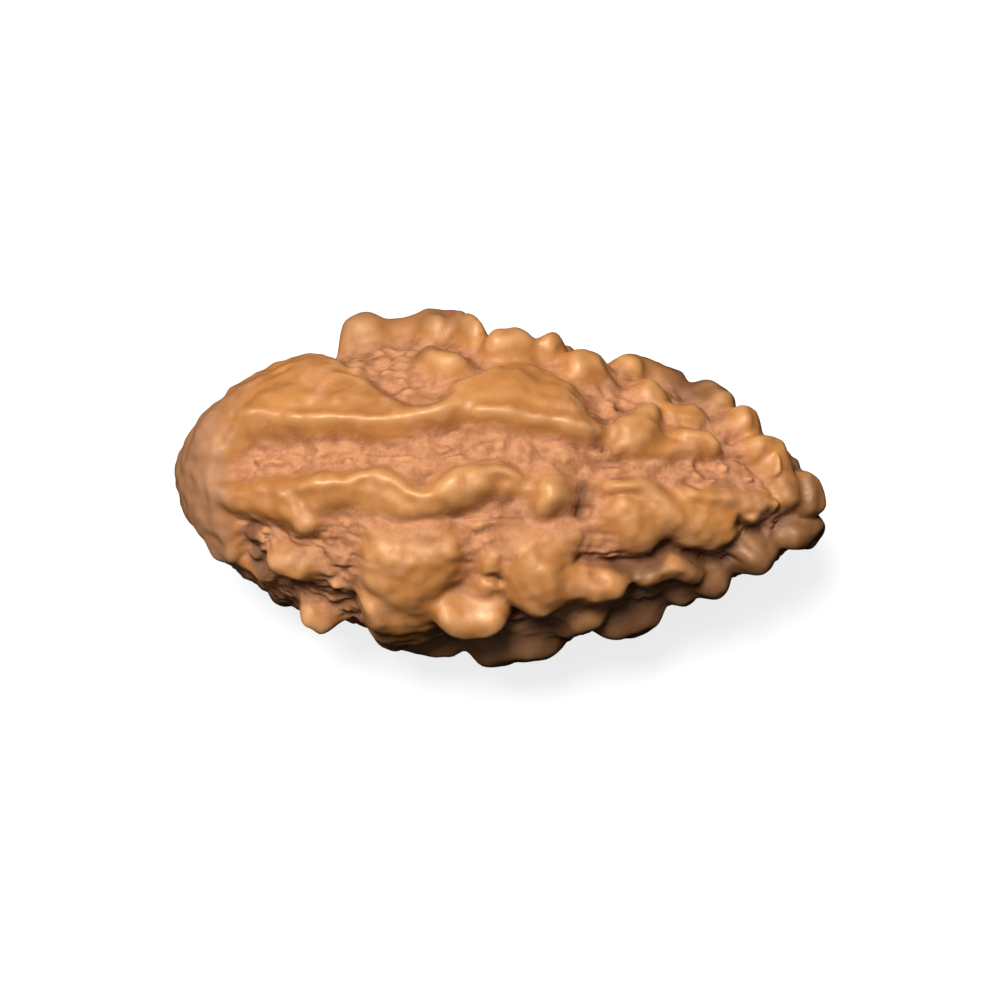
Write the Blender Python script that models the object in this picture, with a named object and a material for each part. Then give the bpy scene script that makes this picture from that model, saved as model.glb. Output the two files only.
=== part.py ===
"""Rudraksha seed: the dried stone of the fruit, a single hard woody body.

It is a blunt-ended oval that tapers to a knobbly tip. One line runs along the top, a rough
groove between two smooth lips. The rest of the skin is raised in lumps and plates that stand
over a rough floor. It rests on a small flat spot.

Lengths inside this file are in millimetres. +X runs from the blunt end to the tip, +Z is up.
"""

import math

import bmesh
import bpy
import numpy as np
from mathutils import Vector, noise

MM = 0.001

# The crest level: the oval that the tops of the lumps touch.
HALF_LENGTH = 12.2
HALF_WIDTH = 6.1
HALF_DEPTH = 5.4
SECTION_SQUARENESS = 2.3
DEPTH_FULLNESS = 0.85
TAPER = 0.28
TAPER_POWER = 1.1
BLUNT_FULLNESS = 0.12

# How far the rough floor between the lumps lies under the crest level.
FLOOR_DEPTH = 0.64
FLAT_SPOT_CUT = 0.15

# The places below are given as seen from above and a little in front.
VIEW_ELEVATION = math.radians(70.0)
SEEN_TURN = 140.0
END_SHARE = 0.995
SLOPE_STEP = 1e-4

# Cuts of the starting block, along its length and round it.
LONG_CUTS = 39
ROUND_CUTS = 24
BLOCK_LENGTH = 1.5

# Waves, as (size, height): the wander of the lumps' outlines, and the swell and roughness of the skin.
WANDER = ((1.5, 0.30),)
WANDER_SHIFTS = ((17.0, 0.0, 0.0), (0.0, 31.0, 0.0), (0.0, 0.0, 47.0))
SWELL = ((4.5, 0.20),)
FLOOR_ROUGHNESS = ((1.3, 0.14),)
CREST_ROUGHNESS = ((1.9, 0.08),)
SMOOTH_ABOVE = 0.45

# How lumps run into each other, how far their feet reach past the half widths given, and the
# steps between two points of a spine.
MERGE_POWER = 6.0
FOOT_REACH = 1.28
SPINE_STEPS = 4
SOFTENING_ROUNDS = 1

# Each lump: height over the floor, share of its half width that rolls over at the edge,
# and its spine as (along, across, half width). Along runs to the tip, across away from the viewer.
LUMPS = {
    "upper lip": (0.76, 0.8, [
        (-10.7, 2.2, 0.6), (-10.1, 2.45, 0.7), (-8.6, 2.5, 0.72), (-7.3, 2.5, 0.75), (-5.6, 2.6, 0.75),
        (-3.7, 2.65, 0.7), (-2.7, 2.85, 0.65), (-2.0, 3.3, 0.65), (-1.5, 3.7, 0.7), (-0.9, 3.55, 0.75),
        (0.0, 3.15, 0.75), (1.6, 3.1, 0.75), (2.5, 2.95, 0.68), (3.3, 2.55, 0.48)]),
    "upper lip crest": (0.88, 1.0, [
        (-9.9, 2.5, 0.38), (-8.5, 2.5, 0.43), (-7.2, 2.5, 0.43), (-5.3, 2.52, 0.43), (-3.8, 2.52, 0.42),
        (-3.0, 2.72, 0.42), (-2.1, 3.2, 0.42), (-1.4, 3.5, 0.4)]),
    "second crest": (0.88, 1.0, [
        (-1.2, 3.15, 0.4), (0.1, 2.78, 0.42), (1.7, 2.75, 0.44), (2.3, 2.65, 0.4), (3.1, 2.4, 0.35)]),
    "upper shoulder": (0.70, 0.5, [
        (-10.7, 1.6, 0.95), (-10.1, 2.5, 1.2), (-9.1, 3.3, 1.25), (-8.0, 3.6, 1.15), (-7.1, 3.7, 1.05),
        (-6.0, 3.6, 0.95), (-5.1, 3.4, 0.7), (-4.2, 3.0, 0.5)]),
    "shoulder edge": (0.70, 0.6, [(-9.8, 3.5, 1.0), (-8.7, 4.4, 1.0), (-7.7, 4.7, 0.9), (-6.7, 4.6, 0.75)]),
    "shoulder foot": (0.64, 0.5, [(-9.6, 2.9, 0.6), (-7.0, 3.05, 0.65), (-5.0, 3.0, 0.55)]),
    "blunt end": (0.72, 0.5, [
        (-10.5, 2.6, 1.0), (-11.3, 1.3, 1.5), (-11.8, 0.1, 1.9), (-11.3, -0.9, 1.4), (-10.8, -1.9, 0.95),
        (-10.4, -2.6, 0.75)]),
    "rim of the pocket": (0.4, 0.9, [(-10.4, -2.5, 0.75), (-9.8, -3.2, 0.7), (-8.9, -3.65, 0.65)]),
    "lower plate": (0.7, 0.85, [
        (-10.6, -0.5, 0.75), (-9.7, -0.6, 0.9), (-8.5, -0.7, 1.1), (-7.8, -0.95, 1.12), (-7.4, -1.25, 0.9)]),
    "plate foot": (0.66, 0.9, [(-8.3, -3.0, 0.75), (-7.3, -3.25, 0.85)]),
    "lower lip": (0.68, 0.9, [
        (-8.0, -0.4, 0.75), (-7.2, -0.05, 0.6), (-6.3, 0.25, 0.56), (-5.2, 0.3, 0.56), (-4.3, 0.15, 0.56),
        (-3.6, -0.1, 0.54), (-3.0, -0.3, 0.54), (-2.4, -0.1, 0.6)]),
    "lower lip crest": (0.78, 1.0, [
        (-7.4, -0.25, 0.35), (-6.9, 0.05, 0.4), (-6.2, 0.3, 0.42), (-5.2, 0.38, 0.42), (-4.4, 0.3, 0.42),
        (-3.7, 0.1, 0.4), (-3.0, -0.15, 0.4), (-2.4, -0.05, 0.4), (-1.7, 0.3, 0.4)]),
    "under the lower lip": (0.6, 1.0, [
        (-6.9, -0.4, 0.75), (-6.2, -0.2, 0.85), (-5.2, -0.15, 0.88), (-4.2, -0.35, 0.88), (-3.2, -0.7, 0.8),
        (-2.2, -0.45, 0.6)]),
    "lower lip swell": (0.88, 0.75, [(-2.0, 0.1, 0.75), (-1.3, 0.35, 0.95), (-0.85, 0.35, 0.75)]),
    "swell crest": (0.74, 0.9, [(-1.1, 0.75, 0.45), (-0.5, 0.95, 0.4), (0.0, 0.9, 0.35), (0.5, 0.65, 0.35)]),
    "lower lip saddle": (0.4, 0.9, [(-0.6, 0.4, 0.7), (0.9, 0.3, 0.6)]),
    "lip knob": (0.98, 0.95, [(1.6, 0.4, 0.8), (1.75, 0.0, 0.98)]),
    "golden plate": (0.72, 0.65, [
        (-1.1, 3.9, 0.75), (-0.2, 4.1, 0.95), (0.8, 3.9, 1.05), (1.8, 3.6, 0.9), (2.7, 3.1, 0.65)]),
    "golden plate foot": (0.5, 0.9, [(-0.2, 4.6, 0.8), (1.0, 4.6, 0.9), (2.2, 4.1, 0.8)]),
    "back rim horn": (1.4, 0.75, [(-5.75, 5.95, 0.55), (-5.1, 6.05, 0.6)]),
    "back rim": (1.08, 0.85, [(-5.2, 6.15, 0.65), (-4.3, 6.0, 0.6), (-3.6, 6.0, 0.6), (-2.7, 6.0, 0.65)]),
    "back rim rise": (1.22, 0.85, [(-2.9, 6.05, 0.65), (-1.9, 6.1, 0.75), (-1.3, 5.85, 0.65)]),
    "oval lump": (0.76, 0.8, [(-2.8, 5.15, 0.72), (-2.0, 4.92, 0.72)]),
    "rim knob 1": (1.12, 0.8, [(-0.4, 5.5, 0.75), (0.3, 5.5, 0.75)]),
    "rim knob 2": (1.08, 0.8, [(1.3, 5.5, 0.7), (1.6, 5.6, 0.75)]),
    "rim knob 3": (0.9, 0.75, [(2.7, 4.95, 0.9), (3.3, 4.95, 0.85)]),
    "back ridge": (0.85, 0.7, [(4.5, 5.1, 0.7), (5.3, 5.1, 0.8), (6.1, 4.7, 0.75)]),
    "back ridge foot": (0.55, 0.8, [(5.4, 4.3, 0.8)]),
    "back knob slope": (0.5, 0.8, [(6.2, 3.6, 0.8), (7.0, 3.5, 0.8)]),
    "back knob": (0.88, 0.7, [(7.3, 4.2, 0.75), (7.8, 3.9, 0.9)]),
    "small back knob": (0.85, 0.8, [(8.9, 3.1, 0.85)]),
    "tip brow": (0.78, 0.8, [(9.3, 2.1, 0.65), (10.0, 2.1, 0.85)]),
    "tip plate": (0.64, 0.75, [(10.1, 1.6, 0.95), (10.5, 1.0, 0.95), (10.6, 0.4, 0.85)]),
    "tip knob": (0.9, 0.7, [(11.3, 0.6, 0.9), (11.5, 0.1, 0.9)]),
    "tip knob below": (0.85, 0.7, [(10.9, -1.3, 0.8), (11.5, -1.2, 0.8)]),
    "small tip knob": (0.58, 1.0, [(9.3, -0.7, 0.7)]),
    "side knob": (1.05, 0.9, [(9.45, -2.2, 1.15)]),
    "three-cornered lump": (0.76, 0.75, [
        (5.3, 3.4, 0.55), (5.0, 2.9, 0.8), (4.6, 2.4, 0.95), (5.3, 2.3, 0.8)]),
    "short lump": (0.74, 0.8, [(6.7, 2.45, 0.68), (7.3, 2.35, 0.68), (7.8, 2.1, 0.5)]),
    "foot of both lumps": (0.5, 0.8, [(4.3, 2.0, 0.5), (5.5, 1.9, 0.55), (7.0, 1.9, 0.5)]),
    "long plate": (0.74, 0.85, [
        (4.4, -0.55, 0.8), (4.9, -0.85, 1.2), (5.5, -1.05, 1.4), (6.5, -0.65, 1.05), (7.4, -1.05, 1.2),
        (8.2, -1.15, 1.1)]),
    "long plate crest": (0.84, 1.0, [
        (4.0, 0.45, 0.5), (4.8, 0.4, 0.6), (5.5, 0.1, 0.7), (6.1, -0.3, 0.7), (6.4, -0.9, 0.6)]),
    "long plate's second crest": (0.76, 1.0, [(6.9, 0.2, 0.6), (7.7, 0.2, 0.7), (8.4, 0.0, 0.6)]),
    "long plate end": (0.6, 0.9, [(7.6, -0.2, 0.9), (8.6, -0.1, 0.85), (9.5, 0.0, 0.75)]),
    "tip floor": (0.3, 0.9, [(3.9, 0.7, 0.75), (5.5, 0.6, 0.9), (7.3, 0.6, 0.95), (8.9, 0.7, 1.0)]),
    "plate below": (0.78, 0.85, [(5.6, -3.0, 0.8), (6.4, -2.8, 0.85), (7.2, -3.0, 0.8)]),
    "plate below end": (0.98, 0.85, [(7.9, -3.3, 1.05)]),
    "ledge": (0.35, 0.9, [(3.4, -2.8, 0.5), (4.6, -2.8, 0.5)]),
    "middle lobe": (1.1, 0.85, [(1.45, -3.15, 1.45), (1.6, -3.8, 1.45)]),
    "middle lobe top": (0.5, 1.0, [(0.9, -2.05, 1.0), (2.1, -2.05, 1.05)]),
    "middle lobe side": (0.94, 0.9, [(2.6, -3.4, 1.1), (3.5, -3.55, 1.05), (4.2, -3.4, 0.85)]),
    "low lobe": (1.35, 0.8, [(-1.7, -4.6, 0.85), (-1.0, -4.75, 1.0), (-0.4, -4.7, 0.85)]),
    "low lobe neck": (0.42, 0.9, [(-0.6, -4.0, 0.8), (-0.4, -3.4, 0.7), (-0.3, -2.6, 0.65)]),
    "big lobe top": (0.5, 0.9, [(-4.5, -1.75, 0.75), (-3.2, -1.95, 0.9), (-2.0, -1.9, 0.7)]),
    "big lobe brow": (0.72, 0.9, [
        (-4.5, -2.4, 0.85), (-3.5, -2.65, 1.1), (-2.5, -2.55, 0.9), (-1.9, -2.35, 0.6)]),
    "big lobe": (0.82, 0.75, [
        (-3.5, -2.9, 1.45), (-3.5, -3.4, 1.55), (-3.6, -4.1, 1.45), (-3.9, -5.0, 1.25), (-4.0, -5.7, 1.05)]),
    "big lobe shoulder": (0.74, 0.8, [(-4.3, -2.8, 0.95), (-4.4, -3.5, 1.05)]),
    "big lobe foot": (1.05, 0.9, [(-4.6, -4.3, 0.8), (-4.3, -4.8, 0.85)]),
    "big lobe side": (0.72, 0.8, [
        (-2.3, -3.0, 1.0), (-2.6, -3.5, 1.0), (-2.8, -4.1, 0.95), (-2.9, -4.8, 0.85), (-2.8, -5.6, 0.75)]),
    "low horn": (1.05, 0.85, [(-6.95, -4.8, 0.6), (-6.6, -5.0, 0.78)]),
    "flank lump 1": (0.72, 0.8, [(-3.8, -6.2, 0.9), (-2.0, -6.2, 0.9)]),
    "flank lump 2": (0.9, 0.8, [(-0.4, -6.1, 1.0), (0.6, -6.0, 1.2), (1.6, -5.8, 1.1)]),
    "flank lump 3": (0.6, 0.8, [(2.8, -5.2, 0.85), (3.6, -4.8, 0.75)]),
    "flank lump 4": (0.82, 0.8, [(4.4, -5.0, 0.85), (5.3, -4.8, 0.95)]),
    "flank lump 5": (0.55, 0.8, [(6.8, -4.0, 0.7)]),
    "bead by the shoulder": (0.45, 1.0, [(-5.7, 4.7, 0.4)]),
}

# Each pit: depth, share of its half width that slopes, and its spine as above.
PITS = {
    "dimple": (0.22, 1.0, [(-7.0, 3.4, 0.9)]),
    "groove hollow": (0.2, 1.0, [(-7.7, 1.9, 0.3), (-7.1, 1.7, 0.3)]),
    "crevice under the long plate": (0.7, 1.0, [
        (3.0, -2.4, 0.25), (4.0, -2.55, 0.35), (5.4, -2.55, 0.38), (6.0, -2.1, 0.35), (6.6, -1.8, 0.33),
        (7.4, -2.2, 0.38), (8.2, -2.5, 0.35)]),
    "slot by the knob": (0.25, 1.0, [(3.0, 0.9, 0.2), (3.1, -0.8, 0.2)]),
    "second slot": (0.22, 1.0, [(3.4, 0.5, 0.25), (3.6, -0.3, 0.25)]),
    "neck pits": (0.2, 1.0, [(-0.35, -3.3, 0.22), (-0.05, -3.45, 0.22)]),
    "side pit": (0.35, 1.0, [(5.0, -2.9, 0.3)]),
    "slit between the lobes": (0.4, 1.0, [(0.55, -4.2, 0.22), (0.75, -5.0, 0.3)]),
    "shade under the lip": (0.2, 1.0, [(-1.9, -0.8, 0.25), (-0.6, -0.8, 0.25)]),
    "horn crevice": (0.55, 1.0, [(-7.7, -4.15, 0.28), (-6.9, -4.15, 0.28), (-6.1, -4.25, 0.28)]),
    "slack by the pocket": (0.45, 1.0, [(-10.1, -3.8, 0.8), (-9.1, -4.5, 0.9), (-8.0, -5.0, 0.7)]),
    "horn pit": (0.35, 1.0, [(-5.3, -4.3, 0.25)]),
    "pocket": (0.35, 0.9, [(-9.2, -2.1, 0.5), (-9.2, -3.0, 0.6)]),
    "notch at the lip's end": (0.2, 1.0, [(3.3, 2.1, 0.25), (4.5, 1.5, 0.2)]),
    "crease by the tip knob": (0.28, 1.0, [(10.85, 1.2, 0.22), (10.95, 0.3, 0.22)]),
    "pit by the side knob": (0.45, 1.0, [(8.6, -1.8, 0.3)]),
    "crevice over the side knob": (0.35, 1.0, [(8.8, -0.95, 0.25), (9.7, -1.0, 0.25), (10.4, -0.7, 0.2)]),
}

# The hidden side: lumps of the same kind, strewn by a rule.
HIDDEN_SEED = 11
HIDDEN_TRIES = 1600
HIDDEN_SPACING = 1.9
HIDDEN_CLEARANCE = 0.3
HIDDEN_FROM_DEPTH = 2.0
HIDDEN_HALF_WIDTH = (0.7, 1.1)
HIDDEN_HALF_LENGTH = (0.3, 1.1)
HIDDEN_HEIGHT = (0.52, 0.76)
HIDDEN_ROLL = 0.75
HIDDEN_NARROWING = 0.8

# The broad low lump that is worn flat, on which the stone rests.
REST_LUMP = (0.7, 0.5, [(-3.0, 0.0, 1.35), (-0.6, 0.2, 1.5), (2.2, 0.0, 1.3)])

STONE_COLOUR = (0.49, 0.23, 0.083, 1.0)
STONE_ROUGHNESS = 0.45


def girth(share):
    """How full the body is at this share of its half length: less to the tip, more to the blunt end."""
    return 1.0 - TAPER * np.maximum(share, 0.0) ** TAPER_POWER + BLUNT_FULLNESS * np.minimum(share, 0.0) ** 2


def crest_point(direction):
    """The point at crest level for a way out from the middle, given as a unit vector."""
    x, y, z = direction[..., 0], direction[..., 1], direction[..., 2]
    ring = np.hypot(y, z) + 1e-9
    power = SECTION_SQUARENESS
    square = (np.abs(y / ring) ** power + np.abs(z / ring) ** power) ** (-1.0 / power)
    full = girth(x) * square
    deep = full * ring ** (DEPTH_FULLNESS - 1.0)
    return np.stack((HALF_LENGTH * x, HALF_WIDTH * y * full, HALF_DEPTH * z * deep), axis=-1)


def unit(ways):
    """The same ways, one long."""
    return ways / np.linalg.norm(ways, axis=-1, keepdims=True)


def outward(direction):
    """The way straight out of the crest level there."""
    sideways = np.where(np.abs(direction[..., :1]) < 0.9, (1.0, 0.0, 0.0), (0.0, 1.0, 0.0))
    aside = np.cross(direction, sideways)
    around = np.cross(direction, aside)

    def slope(way):
        step = SLOPE_STEP * way
        return crest_point(unit(direction + step)) - crest_point(unit(direction - step))

    return unit(np.cross(slope(aside), slope(around)))


def section(share, turns):
    """Crest points round the body at this share of its half length, turned from the top."""
    ring = math.sqrt(1.0 - share * share)
    way = np.stack((np.full(len(turns), share), ring * np.sin(turns), ring * np.cos(turns)), axis=-1)
    return crest_point(way)


def seen_at(along, across):
    """The crest point that is seen at this place from the viewing side."""
    share = min(max(along / HALF_LENGTH, -END_SHARE), END_SHARE)
    round_it = section(share, np.radians(np.arange(-SEEN_TURN, SEEN_TURN, 0.5)))
    height = round_it[:, 1] * math.sin(VIEW_ELEVATION) + round_it[:, 2] * math.cos(VIEW_ELEVATION)
    shown = round_it[height.argmin():height.argmax() + 1]
    seen = height[height.argmin():height.argmax() + 1]
    return np.array([np.interp(across, seen, shown[:, axis]) for axis in range(3)])


def under_at(along, across):
    """The crest point on the underside at this place."""
    share = along / HALF_LENGTH
    turn = math.pi - math.asin(across / (HALF_WIDTH * math.sqrt(1.0 - share * share)))
    return section(share, np.array([turn]))[0]


def waves(points, bands):
    """Smooth noise at each point, the sum of the bands given as (size, height)."""
    total = np.zeros(len(points))
    for size, height in bands:
        total += height * np.array([noise.noise(Vector(p) / size) for p in points])
    return total


def wandered(points):
    """The points moved a little aside, so that no outline is a clean arc."""
    return points + np.stack([waves(points + shift, WANDER) for shift in WANDER_SHIFTS], axis=-1)


def edge_share(points, spine, widths):
    """How far each point is from the spine, as a share of the half width there: 1 at the lump's edge."""
    if len(spine) == 1:
        return np.linalg.norm(points - spine[0], axis=1) / widths[0]
    nearest = np.full(len(points), np.inf)
    for start, end, w0, w1 in zip(spine, spine[1:], widths, widths[1:]):
        run = end - start
        t = np.clip((points - start) @ run / (run @ run), 0.0, 1.0)
        away = np.linalg.norm(points - start - t[:, None] * run, axis=1)
        nearest = np.minimum(nearest, away / (w0 + t * (w1 - w0)))
    return nearest


def lump_height(points, height, roll, spine, widths):
    """The lump's height over the floor: rounded on top, with a soft foot."""
    s = np.clip((1.0 - edge_share(points, spine, widths)) / roll, 0.0, 1.0)
    return height * s * s * (3.0 - 2.0 * s)


def curved(spine):
    """The spine drawn as a smooth curve through its points."""
    knots = np.array([spine[0], *spine, spine[-1]], float)
    runs = [knots[1:2]]
    for a, b, c, d in zip(knots, knots[1:], knots[2:], knots[3:]):
        for t in np.arange(1, SPINE_STEPS + 1) / SPINE_STEPS:
            bend = (2.0 * a - 5.0 * b + 4.0 * c - d) * t * t + (3.0 * (b - c) + d - a) * t ** 3
            runs.append((b + 0.5 * ((c - a) * t + bend))[None])
    return np.concatenate(runs)


def placed(lump, place):
    """A lump with its spine as points of the body."""
    height, roll, spine = lump
    run = curved(spine)
    return height, roll, np.array([place(a, c) for a, c, _ in run]), run[:, 2] * FOOT_REACH


def hidden_lumps(shown):
    """Lumps for the side that isn't seen from the viewing side, kept clear of those that are."""
    rng = np.random.default_rng(HIDDEN_SEED)
    away = np.array((0.0, math.cos(VIEW_ELEVATION), -math.sin(VIEW_ELEVATION)))
    spines = [spine for _, _, spine, _ in shown]
    widths = [width for _, _, _, width in shown]
    centres, lumps = [], []
    for _ in range(HIDDEN_TRIES):
        direction = unit(rng.normal(size=3))
        half_width = rng.uniform(*HIDDEN_HALF_WIDTH)
        half_length = rng.uniform(*HIDDEN_HALF_LENGTH)
        height = rng.uniform(*HIDDEN_HEIGHT)
        sideways = unit(np.cross(outward(direction), rng.normal(size=3)))
        centre = crest_point(direction)
        if centre @ away < HIDDEN_FROM_DEPTH:
            continue
        if any(np.linalg.norm(centre - c) < HIDDEN_SPACING for c in centres):
            continue
        gaps = [
            edge_share(centre[None], spine, width)[0] * min(width) - max(width)
            for spine, width in zip(spines, widths)
        ]
        if min(gaps) < HIDDEN_CLEARANCE:
            continue
        reach = half_length * sideways
        centres.append(centre)
        ends = np.array((centre - reach, centre + reach))
        lumps.append((height, HIDDEN_ROLL, ends, (half_width, HIDDEN_NARROWING * half_width)))
    return lumps


def lumps_height(points):
    """Height of the lumps over the rough floor at each crest point."""
    shown = [placed(lump, seen_at) for lump in LUMPS.values()]
    shown.append(placed(REST_LUMP, under_at))
    aside = wandered(points)
    total = np.zeros(len(points))
    for lump in shown + hidden_lumps(shown):
        total += lump_height(aside, *lump) ** MERGE_POWER
    height = total ** (1.0 / MERGE_POWER)
    for pit in PITS.values():
        height -= lump_height(aside, *placed(pit, seen_at))
    return height


def mean_beside(mesh, values):
    """At each point of the mesh, the mean of the values at the points joined to it."""
    ends = np.empty(len(mesh.edges) * 2, np.int32)
    mesh.edges.foreach_get("vertices", ends)
    one, other = ends.reshape(-1, 2).T
    total = np.bincount(one, values[other], len(values)) + np.bincount(other, values[one], len(values))
    return total / np.bincount(ends, minlength=len(values))


def softened(mesh, values, rounds):
    """The values with their creases worn down."""
    for _ in range(rounds):
        values = 0.5 * (values + mean_beside(mesh, values))
    return values


def block(long_cuts, round_cuts):
    """A block with its faces cut into a grid, as directions from the middle."""
    bm = bmesh.new()
    bmesh.ops.create_cube(bm, size=2.0)
    for axis, cuts in enumerate((long_cuts, round_cuts, round_cuts)):
        edges = [e for e in bm.edges if abs((e.verts[0].co - e.verts[1].co)[axis]) > 1.0]
        bmesh.ops.subdivide_edges(bm, edges=edges, cuts=cuts, use_grid_fill=True)
    return bm


def stone_mesh(name):
    """The stone: the block blown up to the body, with the relief raised along its outward ways."""
    bm = block(LONG_CUTS, ROUND_CUTS)
    mesh = bpy.data.meshes.new(name)
    bm.to_mesh(mesh)
    bm.free()
    corners = np.empty(len(mesh.vertices) * 3, np.float32)
    mesh.vertices.foreach_get("co", corners)
    even = np.tan(corners.reshape(-1, 3).astype(float) * math.pi / 4.0)
    even[:, 0] *= BLOCK_LENGTH
    direction = unit(even)
    crest = crest_point(direction)
    height = softened(mesh, lumps_height(crest), SOFTENING_ROUNDS)
    smooth = np.clip(height / SMOOTH_ABOVE, 0.0, 1.0)
    height += waves(crest, FLOOR_ROUGHNESS) * (1.0 - smooth) + waves(crest, CREST_ROUGHNESS) * smooth
    height += waves(crest, SWELL)
    points = crest + outward(direction) * (height - FLOOR_DEPTH)[:, None]
    lowest = FLAT_SPOT_CUT - HALF_DEPTH
    points[:, 2] = np.maximum(points[:, 2], lowest)
    middle = (points.min(axis=0) + points.max(axis=0)) / 2.0
    points -= (middle[0], middle[1], lowest)
    mesh.vertices.foreach_set("co", (points * MM).astype(np.float32).ravel())
    mesh.update()
    mesh.shade_smooth()
    return mesh


def stone_material():
    """Hard brown wood, smooth on the lumps."""
    material = bpy.data.materials.new("stone")
    material.use_nodes = True
    shader = material.node_tree.nodes["Principled BSDF"]
    shader.inputs["Base Color"].default_value = STONE_COLOUR
    shader.inputs["Roughness"].default_value = STONE_ROUGHNESS
    shader.inputs["Metallic"].default_value = 0.0
    material.diffuse_color = STONE_COLOUR
    return material


for old in list(bpy.data.objects):
    bpy.data.objects.remove(old, do_unlink=True)

seed = bpy.data.objects.new("seed", stone_mesh("seed"))
seed.data.materials.append(stone_material())
bpy.context.scene.collection.objects.link(seed)
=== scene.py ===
"""Looks of the rudraksha seed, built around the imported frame.

The sizes inside the seed's section are in millimetres, as in the part's source. Everything
that reaches Blender is in metres.
"""

import math

import bmesh
import bpy
import numpy as np
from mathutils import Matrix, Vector, noise


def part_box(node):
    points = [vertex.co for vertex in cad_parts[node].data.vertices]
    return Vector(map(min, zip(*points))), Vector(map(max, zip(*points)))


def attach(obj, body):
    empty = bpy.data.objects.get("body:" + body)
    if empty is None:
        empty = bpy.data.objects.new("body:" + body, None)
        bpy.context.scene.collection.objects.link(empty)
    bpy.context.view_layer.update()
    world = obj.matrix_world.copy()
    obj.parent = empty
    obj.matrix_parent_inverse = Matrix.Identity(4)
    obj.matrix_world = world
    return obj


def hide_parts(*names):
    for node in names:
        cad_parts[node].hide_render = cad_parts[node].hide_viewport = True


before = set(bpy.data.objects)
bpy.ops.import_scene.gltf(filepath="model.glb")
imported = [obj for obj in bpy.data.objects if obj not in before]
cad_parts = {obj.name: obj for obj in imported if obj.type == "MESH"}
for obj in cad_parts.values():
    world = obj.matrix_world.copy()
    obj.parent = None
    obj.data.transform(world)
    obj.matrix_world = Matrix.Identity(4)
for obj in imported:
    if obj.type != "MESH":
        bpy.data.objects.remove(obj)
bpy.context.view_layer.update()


# Seed
# The stone of the fruit, dried and rubbed clean: one hard woody body that grew in a mould of
# flesh. Its lips and lumps are polished by handling, and the floor between them stays matt,
# grainy and a little pink, with dark brown in the clefts. Painted shade deepens the clefts and
# darkens the low side, the back and listed spots, and a painted highlight lightens the crests.

MM = 0.001

# The crest level: the oval that the tops of the lumps touch.
HALF_LENGTH = 12.2
HALF_WIDTH = 6.1
HALF_DEPTH = 5.4
SECTION_SQUARENESS = 2.3
DEPTH_FULLNESS = 0.85
TAPER = 0.28
TAPER_POWER = 1.1
BLUNT_FULLNESS = 0.12

# How far the rough floor between the lumps lies under the crest level.
FLOOR_DEPTH = 0.64
FLAT_SPOT_CUT = 0.15

# The places below are given as seen from above and a little in front. Each is found on a ring of
# crest points, turned this far to both sides of the top by this step, in degrees.
VIEW_ELEVATION = math.radians(70.0)
SEEN_TURN = 140.0
SEEN_STEP = 0.5
END_SHARE = 0.995

# The slope of the crest level is worked out over this step. A way that runs closer than this along
# the length takes its side way from across.
SLOPE_STEP = 1e-4
NEAR_THE_LENGTH = 0.9

# Cuts of the starting block, along its length and round it: close enough for the grain of the floor.
LONG_CUTS = 168
ROUND_CUTS = 102
BLOCK_LENGTH = 1.5

# Waves, as (size, height): the wander of the lumps' outlines, and the swell and roughness of the
# skin. The skin is smooth from this height of the lumps up.
WANDER = ((1.5, 0.30), (0.6, 0.10))
WANDER_SHIFTS = ((17.0, 0.0, 0.0), (0.0, 31.0, 0.0), (0.0, 0.0, 47.0))
SWELL = ((4.5, 0.20),)
FLOOR_ROUGHNESS = ((1.3, 0.14),)
CREST_ROUGHNESS = ((1.9, 0.08),)
SMOOTH_ABOVE = 0.45

# How lumps run into each other, how far their feet reach past the half widths given, the steps
# between two points of a spine, and how often the relief is worn down.
MERGE_POWER = 6.0
FOOT_REACH = 1.28
SPINE_STEPS = 4
SOFTENING_ROUNDS = 7

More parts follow.
